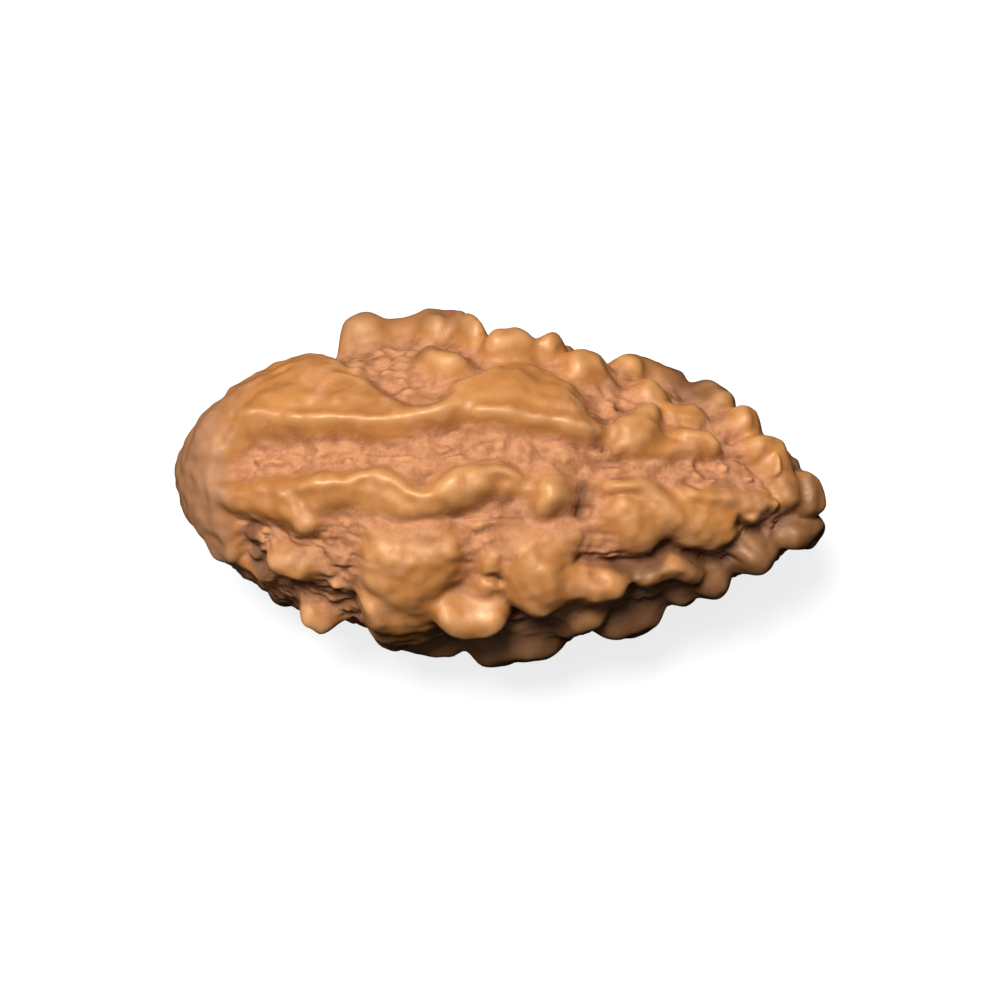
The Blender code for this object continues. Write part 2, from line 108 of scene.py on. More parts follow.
# Each lump: height over the floor, share of its half width that rolls over at the edge,
# and its spine as (along, across, half width). Along runs to the tip, across away from the viewer.
LUMPS = {
    "upper lip": (0.76, 0.8, [
        (-10.7, 2.2, 0.6), (-10.1, 2.45, 0.7), (-8.6, 2.5, 0.72), (-7.3, 2.5, 0.75), (-5.6, 2.6, 0.75),
        (-3.7, 2.65, 0.7), (-2.7, 2.85, 0.65), (-2.0, 3.3, 0.65), (-1.5, 3.7, 0.7), (-0.9, 3.55, 0.75),
        (0.0, 3.15, 0.75), (1.6, 3.1, 0.75), (2.5, 2.95, 0.68), (3.3, 2.55, 0.48)]),
    "upper lip crest": (0.88, 1.0, [
        (-9.9, 2.5, 0.38), (-8.5, 2.5, 0.43), (-7.2, 2.5, 0.43), (-5.3, 2.52, 0.43), (-3.8, 2.52, 0.42),
        (-3.0, 2.72, 0.42), (-2.1, 3.2, 0.42), (-1.4, 3.5, 0.4)]),
    "second crest": (0.88, 1.0, [
        (-1.2, 3.15, 0.4), (0.1, 2.78, 0.42), (1.7, 2.75, 0.44), (2.3, 2.65, 0.4), (3.1, 2.4, 0.35)]),
    "upper shoulder": (0.70, 0.5, [
        (-10.7, 1.6, 0.95), (-10.1, 2.5, 1.2), (-9.1, 3.3, 1.25), (-8.0, 3.6, 1.15), (-7.1, 3.7, 1.05),
        (-6.0, 3.6, 0.95), (-5.1, 3.4, 0.7), (-4.2, 3.0, 0.5)]),
    "shoulder edge": (0.70, 0.6, [(-9.8, 3.5, 1.0), (-8.7, 4.4, 1.0), (-7.7, 4.7, 0.9), (-6.7, 4.6, 0.75)]),
    "shoulder foot": (0.64, 0.5, [(-9.6, 2.9, 0.6), (-7.0, 3.05, 0.65), (-5.0, 3.0, 0.55)]),
    "blunt end": (0.72, 0.5, [
        (-10.5, 2.6, 1.0), (-11.3, 1.3, 1.5), (-11.8, 0.1, 1.9), (-11.3, -0.9, 1.4), (-10.8, -1.9, 0.95),
        (-10.4, -2.6, 0.75)]),
    "rim of the pocket": (0.4, 0.9, [(-10.4, -2.5, 0.75), (-9.8, -3.2, 0.7), (-8.9, -3.65, 0.65)]),
    "lower plate": (0.7, 0.85, [
        (-10.6, -0.5, 0.75), (-9.7, -0.6, 0.9), (-8.5, -0.7, 1.1), (-7.8, -0.95, 1.12), (-7.4, -1.25, 0.9)]),
    "plate foot": (0.66, 0.9, [(-8.3, -3.0, 0.75), (-7.3, -3.25, 0.85)]),
    "lower lip": (0.68, 0.9, [
        (-8.0, -0.4, 0.75), (-7.2, -0.05, 0.6), (-6.3, 0.25, 0.56), (-5.2, 0.3, 0.56), (-4.3, 0.15, 0.56),
        (-3.6, -0.1, 0.54), (-3.0, -0.3, 0.54), (-2.4, -0.1, 0.6)]),
    "lower lip crest": (0.78, 1.0, [
        (-7.4, -0.25, 0.35), (-6.9, 0.05, 0.4), (-6.2, 0.3, 0.42), (-5.2, 0.38, 0.42), (-4.4, 0.3, 0.42),
        (-3.7, 0.1, 0.4), (-3.0, -0.15, 0.4), (-2.4, -0.05, 0.4), (-1.7, 0.3, 0.4)]),
    "under the lower lip": (0.6, 1.0, [
        (-6.9, -0.4, 0.75), (-6.2, -0.2, 0.85), (-5.2, -0.15, 0.88), (-4.2, -0.35, 0.88), (-3.2, -0.7, 0.8),
        (-2.2, -0.45, 0.6)]),
    "lower lip swell": (0.88, 0.75, [(-2.0, 0.1, 0.75), (-1.3, 0.35, 0.95), (-0.85, 0.35, 0.75)]),
    "swell crest": (0.74, 0.9, [(-1.1, 0.75, 0.45), (-0.5, 0.95, 0.4), (0.0, 0.9, 0.35), (0.5, 0.65, 0.35)]),
    "lower lip saddle": (0.4, 0.9, [(-0.6, 0.4, 0.7), (0.9, 0.3, 0.6)]),
    "lip knob": (0.98, 0.95, [(1.6, 0.4, 0.8), (1.75, 0.0, 0.98)]),
    "golden plate": (0.72, 0.65, [
        (-1.1, 3.9, 0.75), (-0.2, 4.1, 0.95), (0.8, 3.9, 1.05), (1.8, 3.6, 0.9), (2.7, 3.1, 0.65)]),
    "golden plate foot": (0.5, 0.9, [(-0.2, 4.6, 0.8), (1.0, 4.6, 0.9), (2.2, 4.1, 0.8)]),
    "back rim horn": (1.4, 0.75, [(-5.75, 5.95, 0.55), (-5.1, 6.05, 0.6)]),
    "back rim": (1.08, 0.85, [(-5.2, 6.15, 0.65), (-4.3, 6.0, 0.6), (-3.6, 6.0, 0.6), (-2.7, 6.0, 0.65)]),
    "back rim rise": (1.22, 0.85, [(-2.9, 6.05, 0.65), (-1.9, 6.1, 0.75), (-1.3, 5.85, 0.65)]),
    "oval lump": (0.76, 0.8, [(-2.8, 5.15, 0.72), (-2.0, 4.92, 0.72)]),
    "rim knob 1": (1.12, 0.8, [(-0.4, 5.5, 0.75), (0.3, 5.5, 0.75)]),
    "rim knob 2": (1.08, 0.8, [(1.3, 5.5, 0.7), (1.6, 5.6, 0.75)]),
    "rim knob 3": (0.9, 0.75, [(2.7, 4.95, 0.9), (3.3, 4.95, 0.85)]),
    "back ridge": (0.85, 0.7, [(4.5, 5.1, 0.7), (5.3, 5.1, 0.8), (6.1, 4.7, 0.75)]),
    "back ridge foot": (0.55, 0.8, [(5.4, 4.3, 0.8)]),
    "back knob slope": (0.5, 0.8, [(6.2, 3.6, 0.8), (7.0, 3.5, 0.8)]),
    "back knob": (0.88, 0.7, [(7.3, 4.2, 0.75), (7.8, 3.9, 0.9)]),
    "small back knob": (0.85, 0.8, [(8.9, 3.1, 0.85)]),
    "tip brow": (0.78, 0.8, [(9.3, 2.1, 0.65), (10.0, 2.1, 0.85)]),
    "tip plate": (0.64, 0.75, [(10.1, 1.6, 0.95), (10.5, 1.0, 0.95), (10.6, 0.4, 0.85)]),
    "tip knob": (0.9, 0.7, [(11.3, 0.6, 0.9), (11.5, 0.1, 0.9)]),
    "tip knob below": (0.85, 0.7, [(10.9, -1.3, 0.8), (11.5, -1.2, 0.8)]),
    "small tip knob": (0.58, 1.0, [(9.3, -0.7, 0.7)]),
    "side knob": (1.05, 0.9, [(9.45, -2.2, 1.15)]),
    "three-cornered lump": (0.76, 0.75, [
        (5.3, 3.4, 0.55), (5.0, 2.9, 0.8), (4.6, 2.4, 0.95), (5.3, 2.3, 0.8)]),
    "short lump": (0.74, 0.8, [(6.7, 2.45, 0.68), (7.3, 2.35, 0.68), (7.8, 2.1, 0.5)]),
    "foot of both lumps": (0.5, 0.8, [(4.3, 2.0, 0.5), (5.5, 1.9, 0.55), (7.0, 1.9, 0.5)]),
    "long plate": (0.74, 0.85, [
        (4.4, -0.55, 0.8), (4.9, -0.85, 1.2), (5.5, -1.05, 1.4), (6.5, -0.65, 1.05), (7.4, -1.05, 1.2),
        (8.2, -1.15, 1.1)]),
    "long plate crest": (0.84, 1.0, [
        (4.0, 0.45, 0.5), (4.8, 0.4, 0.6), (5.5, 0.1, 0.7), (6.1, -0.3, 0.7), (6.4, -0.9, 0.6)]),
    "long plate's second crest": (0.76, 1.0, [(6.9, 0.2, 0.6), (7.7, 0.2, 0.7), (8.4, 0.0, 0.6)]),
    "long plate end": (0.6, 0.9, [(7.6, -0.2, 0.9), (8.6, -0.1, 0.85), (9.5, 0.0, 0.75)]),
    "tip floor": (0.3, 0.9, [(3.9, 0.7, 0.75), (5.5, 0.6, 0.9), (7.3, 0.6, 0.95), (8.9, 0.7, 1.0)]),
    "plate below": (0.78, 0.85, [(5.6, -3.0, 0.8), (6.4, -2.8, 0.85), (7.2, -3.0, 0.8)]),
    "plate below end": (0.98, 0.85, [(7.9, -3.3, 1.05)]),
    "ledge": (0.35, 0.9, [(3.4, -2.8, 0.5), (4.6, -2.8, 0.5)]),
    "middle lobe": (1.1, 0.85, [(1.45, -3.15, 1.45), (1.6, -3.8, 1.45)]),
    "middle lobe top": (0.5, 1.0, [(0.9, -2.05, 1.0), (2.1, -2.05, 1.05)]),
    "middle lobe side": (0.94, 0.9, [(2.6, -3.4, 1.1), (3.5, -3.55, 1.05), (4.2, -3.4, 0.85)]),
    "low lobe": (1.35, 0.8, [(-1.7, -4.6, 0.85), (-1.0, -4.75, 1.0), (-0.4, -4.7, 0.85)]),
    "low lobe neck": (0.42, 0.9, [(-0.6, -4.0, 0.8), (-0.4, -3.4, 0.7), (-0.3, -2.6, 0.65)]),
    "big lobe top": (0.5, 0.9, [(-4.5, -1.75, 0.75), (-3.2, -1.95, 0.9), (-2.0, -1.9, 0.7)]),
    "big lobe brow": (0.72, 0.9, [
        (-4.5, -2.4, 0.85), (-3.5, -2.65, 1.1), (-2.5, -2.55, 0.9), (-1.9, -2.35, 0.6)]),
    "big lobe": (0.82, 0.75, [
        (-3.5, -2.9, 1.45), (-3.5, -3.4, 1.55), (-3.6, -4.1, 1.45), (-3.9, -5.0, 1.25), (-4.0, -5.7, 1.05)]),
    "big lobe shoulder": (0.74, 0.8, [(-4.3, -2.8, 0.95), (-4.4, -3.5, 1.05)]),
    "big lobe foot": (1.05, 0.9, [(-4.6, -4.3, 0.8), (-4.3, -4.8, 0.85)]),
    "big lobe side": (0.72, 0.8, [
        (-2.3, -3.0, 1.0), (-2.6, -3.5, 1.0), (-2.8, -4.1, 0.95), (-2.9, -4.8, 0.85), (-2.8, -5.6, 0.75)]),
    "low horn": (1.05, 0.85, [(-6.95, -4.8, 0.6), (-6.6, -5.0, 0.78)]),
    "flank lump 1": (0.72, 0.8, [(-3.8, -6.2, 0.9), (-2.0, -6.2, 0.9)]),
    "flank lump 2": (0.9, 0.8, [(-0.4, -6.1, 1.0), (0.6, -6.0, 1.2), (1.6, -5.8, 1.1)]),
    "flank lump 3": (0.6, 0.8, [(2.8, -5.2, 0.85), (3.6, -4.8, 0.75)]),
    "flank lump 4": (0.82, 0.8, [(4.4, -5.0, 0.85), (5.3, -4.8, 0.95)]),
    "flank lump 5": (0.55, 0.8, [(6.8, -4.0, 0.7)]),
    "bead by the shoulder": (0.45, 1.0, [(-5.7, 4.7, 0.4)]),
}

# Each pit: depth, share of its half width that slopes, and its spine as above.
PITS = {
    "dimple": (0.22, 1.0, [(-7.0, 3.4, 0.9)]),
    "groove hollow": (0.2, 1.0, [(-7.7, 1.9, 0.3), (-7.1, 1.7, 0.3)]),
    "crevice under the long plate": (0.7, 1.0, [
        (3.0, -2.4, 0.25), (4.0, -2.55, 0.35), (5.4, -2.55, 0.38), (6.0, -2.1, 0.35), (6.6, -1.8, 0.33),
        (7.4, -2.2, 0.38), (8.2, -2.5, 0.35)]),
    "slot by the knob": (0.25, 1.0, [(3.0, 0.9, 0.2), (3.1, -0.8, 0.2)]),
    "second slot": (0.22, 1.0, [(3.4, 0.5, 0.25), (3.6, -0.3, 0.25)]),
    "neck pits": (0.2, 1.0, [(-0.35, -3.3, 0.22), (-0.05, -3.45, 0.22)]),
    "side pit": (0.35, 1.0, [(5.0, -2.9, 0.3)]),
    "slit between the lobes": (0.4, 1.0, [(0.55, -4.2, 0.22), (0.75, -5.0, 0.3)]),
    "shade under the lip": (0.2, 1.0, [(-1.9, -0.8, 0.25), (-0.6, -0.8, 0.25)]),
    "horn crevice": (0.55, 1.0, [(-7.7, -4.15, 0.28), (-6.9, -4.15, 0.28), (-6.1, -4.25, 0.28)]),
    "slack by the pocket": (0.45, 1.0, [(-10.1, -3.8, 0.8), (-9.1, -4.5, 0.9), (-8.0, -5.0, 0.7)]),
    "horn pit": (0.35, 1.0, [(-5.3, -4.3, 0.25)]),
    "pocket": (0.35, 0.9, [(-9.2, -2.1, 0.5), (-9.2, -3.0, 0.6)]),
    "notch at the lip's end": (0.2, 1.0, [(3.3, 2.1, 0.25), (4.5, 1.5, 0.2)]),
    "crease by the tip knob": (0.28, 1.0, [(10.85, 1.2, 0.22), (10.95, 0.3, 0.22)]),
    "pit by the side knob": (0.45, 1.0, [(8.6, -1.8, 0.3)]),
    "crevice over the side knob": (0.35, 1.0, [(8.8, -0.95, 0.25), (9.7, -1.0, 0.25), (10.4, -0.7, 0.2)]),
}

# The hidden side: lumps of the same kind, strewn by a rule.
HIDDEN_SEED = 11
HIDDEN_TRIES = 1600
HIDDEN_SPACING = 1.9
HIDDEN_CLEARANCE = 0.3
HIDDEN_FROM_DEPTH = 2.0
HIDDEN_HALF_WIDTH = (0.7, 1.1)
HIDDEN_HALF_LENGTH = (0.3, 1.1)
HIDDEN_HEIGHT = (0.52, 0.76)
HIDDEN_ROLL = 0.75
HIDDEN_NARROWING = 0.8

# The broad low lump that is worn flat, on which the stone rests.
REST_LUMP = (0.7, 0.5, [(-3.0, 0.0, 1.35), (-0.6, 0.2, 1.5), (2.2, 0.0, 1.3)])

# Finer waves that only the looks have: the grain of the floor, and the faint unevenness of the lumps.
FLOOR_GRAIN = ((0.6, 0.17), (0.3, 0.10))
CREST_GRAIN = ((0.9, 0.10), (0.42, 0.055))

# Fine creases that run along the floor: how far apart they lie along and across, their depth, and
# how thin they are.
CREASES = ((2.6, 0.7, 0.12, 7.0), (1.5, 1.1, 0.08, 6.0))

# Small nubs and pits, placed as the lumps are.
NUBS = {
    "on the tip plate": (0.74, 1.0, [(9.8, 1.7, 0.42), (10.0, 1.1, 0.45)]),
    "under the tip plate": (0.6, 0.9, [(9.3, 0.1, 0.4), (10.0, -0.1, 0.4)]),
    "in the pocket": (0.12, 1.0, [(-9.5, -2.2, 0.3)]),
    "in the pocket 2": (0.14, 1.0, [(-9.2, -2.55, 0.28), (-8.95, -2.45, 0.2)]),
    "in the pocket 3": (0.1, 1.0, [(-9.4, -3.0, 0.3)]),
    "groove's start": (0.24, 1.0, [(-9.2, 1.3, 0.25)]),
    "groove's start 2": (0.24, 1.0, [(-8.8, 1.05, 0.2), (-8.3, 1.0, 0.2)]),
    "groove line": (0.2, 1.0, [(-6.9, 1.5, 0.18), (-6.3, 1.35, 0.22), (-5.7, 1.15, 0.18)]),
    "groove line 2": (0.18, 1.0, [(-4.3, 1.2, 0.2), (-3.2, 1.15, 0.2)]),
    "groove line 3": (0.22, 1.0, [(-2.6, 0.9, 0.18), (-2.1, 1.15, 0.2), (-1.6, 1.3, 0.18)]),
    "under the arch": (0.3, 1.0, [(-1.3, 2.75, 0.45)]),
    "under the arch 2": (0.22, 1.0, [(-0.9, 2.0, 0.35)]),
    "by the horn": (0.3, 1.0, [(-6.1, -3.7, 0.34)]),
    "by the horn 2": (0.3, 1.0, [(-5.75, -4.9, 0.32)]),
    "over the horn": (0.3, 1.0, [(-5.9, -2.7, 0.35)]),
    "in the neck": (0.34, 1.0, [(-0.75, -3.6, 0.32)]),
    "in the neck 2": (0.3, 1.0, [(-0.8, -3.0, 0.35)]),
    "strip under the knob": (0.18, 1.0, [(-1.3, -1.15, 0.3), (-0.4, -1.2, 0.3)]),
    "by the tip": (0.4, 1.0, [(8.2, 1.3, 0.35)]),
    "by the tip 2": (0.44, 1.0, [(7.2, 1.0, 0.28), (7.8, 0.9, 0.28)]),
    "by the tip 3": (0.44, 1.0, [(9.0, 0.9, 0.35)]),
    "back floor": (0.3, 1.0, [(4.0, 3.6, 0.4)]),
    "back floor 2": (0.35, 1.0, [(3.4, 3.1, 0.3)]),
    "horn's root": (0.35, 1.0, [(-5.3, 4.4, 0.3)]),
    "under the back rim": (0.3, 1.0, [(-4.4, 4.7, 0.35)]),
    "under the back rim 2": (0.3, 1.0, [(-3.8, 3.9, 0.35)]),
    "ledge": (0.35, 1.0, [(3.1, -2.8, 0.25)]),
    "beside the long plate": (0.34, 1.0, [(4.4, 1.2, 0.6), (6.0, 1.2, 0.6)]),
}
FINE_PITS = {
    "under the long plate": (0.22, 1.0, [
        (3.0, -2.4, 0.22), (4.0, -2.58, 0.3), (5.4, -2.6, 0.3), (6.0, -2.15, 0.28), (6.6, -1.85, 0.26),
        (7.4, -2.25, 0.3), (8.2, -2.55, 0.3)]),
    "pocket": (0.2, 1.0, [(-9.2, -1.75, 0.34)]),
    "pocket 2": (0.22, 1.0, [(-9.7, -2.6, 0.3)]),
    "pocket 3": (0.22, 1.0, [(-9.05, -2.95, 0.3), (-8.85, -3.2, 0.24)]),
    "horn": (0.36, 1.0, [(-6.0, -4.3, 0.26)]),
    "horn 2": (0.32, 1.0, [(-5.6, -4.3, 0.24), (-5.5, -4.9, 0.22)]),
    "neck": (0.26, 1.0, [(-0.4, -3.4, 0.24)]),
    "neck 2": (0.2, 1.0, [(-0.1, -3.55, 0.2)]),
    "side": (0.4, 1.0, [(4.9, -3.45, 0.26)]),
    "side 2": (0.3, 1.0, [(3.4, -2.95, 0.22), (3.8, -3.05, 0.22)]),
    "side 3": (0.35, 1.0, [(8.6, -2.3, 0.26)]),
    "under the swell": (0.24, 1.0, [(-0.2, -1.4, 0.22), (0.4, -1.3, 0.22)]),
    "knob slot": (0.26, 1.0, [(2.85, 0.8, 0.22), (2.95, -0.7, 0.24)]),
    "by the swell": (0.22, 1.0, [(-2.3, 0.45, 0.2), (-1.6, 0.95, 0.2)]),
    "knob slot 2": (0.22, 1.0, [(3.3, 0.4, 0.2), (3.35, -0.4, 0.2)]),
    "groove": (0.16, 1.0, [(-6.6, 1.15, 0.2), (-5.8, 1.3, 0.18)]),
    "groove 2": (0.2, 1.0, [(-9.4, 1.0, 0.22)]),
    "groove 3": (0.2, 1.0, [(-8.5, 1.45, 0.2)]),
    "lip's end": (0.25, 1.0, [(4.3, 1.7, 0.24)]),
    "tip": (0.25, 1.0, [(7.3, 1.35, 0.22)]),
    "tip 2": (0.22, 1.0, [(6.9, 0.75, 0.2), (7.3, 0.6, 0.2)]),
    "back": (0.28, 1.0, [(4.2, 4.0, 0.26), (4.0, 3.5, 0.22)]),
    "back 2": (0.25, 1.0, [(-1.75, 5.3, 0.25)]),
}

# How often the relief is worn down to find what lies hollow beside it.
HOLLOW_ROUNDS = 24

# Places on the lumps where the skin is as raw as the floor, placed as the lumps are: how raw, and
# how far that fades.
RAW_SPOTS = {
    "in the dimple": (0.4, 1.0, [(-7.0, 3.6, 0.8)]),
    "on the big lobe": (0.25, 1.0, [(-4.4, -1.6, 0.7), (-2.6, -1.9, 0.8)]),
    "on the middle lobe": (0.12, 1.0, [(0.6, -2.0, 0.6), (2.4, -2.1, 0.7)]),
    "on the low lobe": (0.3, 1.0, [(-0.1, -4.4, 0.6)]),
    "behind the golden plate": (0.35, 1.0, [(3.0, 3.6, 0.7), (3.9, 2.8, 0.5)]),
    "on the long plate": (0.3, 1.0, [(4.6, -0.9, 0.7), (6.6, -1.0, 0.6)]),
    "on the tip plate": (0.4, 1.0, [(10.2, 1.2, 0.7)]),
    "along the tip": (0.5, 1.0, [(4.2, 1.0, 0.5), (5.8, 1.0, 0.55), (7.4, 0.9, 0.55), (9.0, 0.8, 0.5)]),
    "on the back rim": (0.35, 1.0, [(-5.4, 5.2, 0.6), (-4.6, 5.4, 0.6)]),
    "on the side knob": (0.3, 1.0, [(9.3, -2.2, 0.5)]),
}

# Places darkened brown, placed as the lumps are: partly stains of flesh and dirt, partly painted
# shade in crevices, under overhangs and on lumps that the light reaches less; how brown, and how
# far that fades.
STAINS_AND_PAINTED_SHADE = {
    "under the long plate": (0.9, 1.0, [
        (2.9, -2.4, 0.26), (4.0, -2.62, 0.36), (5.4, -2.65, 0.36), (6.0, -2.2, 0.34), (6.6, -1.9, 0.32),
        (7.4, -2.3, 0.36), (8.2, -2.6, 0.36)]),
    "pit under the ledge": (0.8, 1.0, [(5.0, -3.1, 0.3)]),
    "in the pocket": (0.75, 0.8, [(-9.6, -1.9, 0.45), (-9.2, -3.0, 0.6), (-8.9, -3.4, 0.5)]),
    "over the horn": (0.95, 0.9, [(-7.8, -4.1, 0.32), (-6.9, -4.1, 0.3), (-6.1, -4.25, 0.32)]),
    "by the horn": (0.6, 1.0, [(-5.8, -3.6, 0.3), (-5.5, -4.4, 0.3)]),
    "lip's end": (0.35, 1.0, [(2.4, 3.4, 0.22), (3.3, 2.15, 0.3)]),
    "lip's end 2": (0.3, 1.0, [(3.4, 2.1, 0.25), (4.5, 1.5, 0.22)]),
    "slots by the knob": (0.6, 1.0, [(2.95, 0.8, 0.22), (3.05, -0.9, 0.28)]),
    "slots by the knob 2": (0.45, 1.0, [(3.4, 0.4, 0.22), (3.45, -0.5, 0.24)]),
    "by the swell": (0.27, 1.0, [(-2.3, 0.45, 0.2), (-1.6, 0.95, 0.2)]),
    "under the upper lip": (0.2, 1.0, [(-8.0, 2.0, 0.2), (-6.2, 1.9, 0.22), (-4.0, 1.85, 0.2)]),
    "over the side knob": (0.8, 1.0, [(8.7, -0.7, 0.28), (9.7, -1.15, 0.25)]),
    "by the side knob": (0.8, 1.0, [(8.6, -1.9, 0.3)]),
    "slit between the lobes": (0.9, 1.0, [(0.5, -4.2, 0.22), (0.75, -5.0, 0.3)]),
    "in the neck": (0.5, 1.0, [(-0.25, -3.4, 0.3)]),
    "behind the short lump": (0.45, 1.0, [(8.3, 2.5, 0.3)]),
    "on the small back knob": (0.2, 1.0, [(8.9, 2.9, 0.8)]),
    "on the blunt end": (0.2, 1.0, [(-10.4, 0.0, 0.4), (-10.3, -1.2, 0.4)]),
    "low side of the tip": (0.4, 1.0, [(5.2, -2.9, 1.0), (6.6, -3.0, 1.0), (8.3, -3.4, 0.9)]),
    "under the tip": (0.45, 1.0, [(4.4, -4.9, 1.1), (5.4, -4.7, 1.1)]),
    "low side of the long plate": (0.3, 1.0, [(6.2, -1.4, 0.7), (7.6, -1.6, 0.8)]),
    "on the tip knob": (0.36, 1.0, [(10.9, 0.5, 0.9), (10.9, -0.6, 0.9)]),
    "on the side knob": (0.3, 1.0, [(9.3, -2.0, 0.9)]),
    "on the back rim": (0.34, 1.0, [(-3.2, 5.2, 0.6), (-2.2, 5.3, 0.8), (-1.0, 5.0, 0.6)]),
    "foot of the pocket's plate": (0.25, 1.0, [(-7.4, -2.9, 0.6), (-6.6, -2.9, 0.4)]),
}

# Colours of the skin, of the floor, and of what lies on them, among them painted shade and a painted
# highlight, and the tint of their shine.
ORANGE = (0.40, 0.150, 0.038, 1.0)
GOLDEN = (0.49, 0.200, 0.052, 1.0)
TAWNY = (0.34, 0.125, 0.038, 1.0)
FLESH = (0.52, 0.235, 0.110, 1.0)
PINK = (0.48, 0.205, 0.092, 1.0)
DULL_PINK = (0.33, 0.125, 0.050, 1.0)
CLEFT_BROWN_AND_SHADE = (0.13, 0.038, 0.016, 1.0)
RUBBED_AND_HIGHLIGHT = (0.60, 0.285, 0.105, 1.0)
BLUNT_END_GREY = (0.30, 0.150, 0.085, 1.0)
LOW_PAINTED_SHADE = (0.10, 0.050, 0.028, 1.0)
SHADED = (0.25, 0.105, 0.042, 1.0)
STAIN_AND_SHADE_BROWN = (0.125, 0.045, 0.016, 1.0)
WARM_SHEEN = (1.0, 0.82, 0.60, 1.0)

# Spots of the skin, as (size, detail), and how rough their detail is.
PATCHES = (2.6, 3.0)
BLUSH = (1.7, 4.0)
MOTTLE = (0.7, 4.0)
SPECKS = (0.22, 3.0)
DETAIL_ROUGHNESS = 0.6

# Each range below says from which value to which a colour comes in, and where it isn't 0 to 1,
# from which share to which.
POLISH_WANDER = (0.3, 0.7, -0.12, 0.12)
POLISH_COMES = (0.05, 0.42)
GOLDEN_COMES = (0.35, 0.65)
TAWNY_COMES = (0.45, 0.7, 0.0, 0.45)
FLESH_COMES = (0.5, 0.64, 0.0, 0.6)
TAWNY_SPECKS = (0.5, 0.72, 0.0, 0.22)
DULL_COMES = (0.4, 0.62)
CLEFT_SPECKS = (0.52, 0.7, 0.0, 0.22)
CLEFT_SHADE_COMES = (0.09, 0.28, 0.0, 0.9)
RUBBED_HIGHLIGHT_COMES = (-0.02, -0.12, 0.0, 0.6)
STAIN_WANDER = (0.3, 0.6, 0.7, 1.15)
STAIN_AND_SHADE_COMES = (0.0, 0.75, 0.0, 0.92)

# The same for what comes in by place, in metres: a duller, greyer brown on the blunt end, along
# the length; painted shade low on the seed, by height, where the line slants from the blunt end to
# the tip; and painted shade at the back. All three lines wander.
LINE_WANDER = (0.3, 0.7, -0.0006, 0.0006)
BLUNT_END_GREY_COMES = (-0.0096, -0.0106, 0.0, 0.6)
LOW_SHADE_SLANT = (-0.008, 0.007, -0.0012, 0.0022)
LOW_SHADE_COMES = (0.0062, 0.0042, 0.0, 0.7)
SHADE_COMES = (0.0043, 0.0060, 0.0, 0.65)

# Dullness of the floor and the skin, and what the height of the lumps takes off it and adds to it.
FLOOR_DULLNESS = 0.78
SKIN_DULLNESS = (0.35, 0.65, 0.44, 0.58)
LESS_DULL = (0.6, 0.84, 0.0, 0.08)
MORE_DULL = (0.9, 1.05, 0.0, 0.08)
SHEEN = 0.65

# The finest grain: how much of the specks shows on the floor and the skin, how much of the
# mottle, and how strong and how high both are.
SPECKS_SHOW = (0.0, 1.0, 1.0, 0.25)
MOTTLE_SHOWS = 0.25
GRAIN_STRENGTH = 0.6
GRAIN_HEIGHT = 0.06 * MM


def girth(share):
    """How full the body is at this share of its half length: less to the tip, more to the blunt end."""
    return 1.0 - TAPER * np.maximum(share, 0.0) ** TAPER_POWER + BLUNT_FULLNESS * np.minimum(share, 0.0) ** 2


def crest_point(direction):
    """The point at crest level for a way out from the middle, given as a unit vector."""
    x, y, z = direction[..., 0], direction[..., 1], direction[..., 2]
    ring = np.hypot(y, z) + 1e-9
    power = SECTION_SQUARENESS
    square = (np.abs(y / ring) ** power + np.abs(z / ring) ** power) ** (-1.0 / power)
    full = girth(x) * square
    deep = full * ring ** (DEPTH_FULLNESS - 1.0)
    return np.stack((HALF_LENGTH * x, HALF_WIDTH * y * full, HALF_DEPTH * z * deep), axis=-1)


def unit(ways):
    """The same ways, one long."""
    return ways / np.linalg.norm(ways, axis=-1, keepdims=True)


def outward(direction):
    """The way straight out of the crest level there."""
    sideways = np.where(np.abs(direction[..., :1]) < NEAR_THE_LENGTH, (1.0, 0.0, 0.0), (0.0, 1.0, 0.0))
    aside = np.cross(direction, sideways)
    around = np.cross(direction, aside)

    def slope(way):
        step = SLOPE_STEP * way
        return crest_point(unit(direction + step)) - crest_point(unit(direction - step))

    return unit(np.cross(slope(aside), slope(around)))


def section(share, turns):
    """Crest points round the body at this share of its half length, turned from the top."""
    ring = math.sqrt(1.0 - share * share)
    way = np.stack((np.full(len(turns), share), ring * np.sin(turns), ring * np.cos(turns)), axis=-1)
    return crest_point(way)


def seen_at(along, across):
    """The crest point that is seen at this place from the viewing side."""
    share = min(max(along / HALF_LENGTH, -END_SHARE), END_SHARE)
    round_it = section(share, np.radians(np.arange(-SEEN_TURN, SEEN_TURN, SEEN_STEP)))
    height = round_it[:, 1] * math.sin(VIEW_ELEVATION) + round_it[:, 2] * math.cos(VIEW_ELEVATION)
    shown = round_it[height.argmin():height.argmax() + 1]
    seen = height[height.argmin():height.argmax() + 1]
    return np.array([np.interp(across, seen, shown[:, axis]) for axis in range(3)])


def under_at(along, across):
    """The crest point on the underside at this place."""
    share = along / HALF_LENGTH
    turn = math.pi - math.asin(across / (HALF_WIDTH * math.sqrt(1.0 - share * share)))
    return section(share, np.array([turn]))[0]


def waves(points, bands):
    """Smooth noise at each point, the sum of the bands given as (size, height)."""
    total = np.zeros(len(points))
    for size, height in bands:
        total += height * np.array([noise.noise(Vector(p) / size) for p in points])
    return total


def wandered(points):
    """The points moved a little aside, so that no outline is a clean arc."""
    return points + np.stack([waves(points + shift, WANDER) for shift in WANDER_SHIFTS], axis=-1)


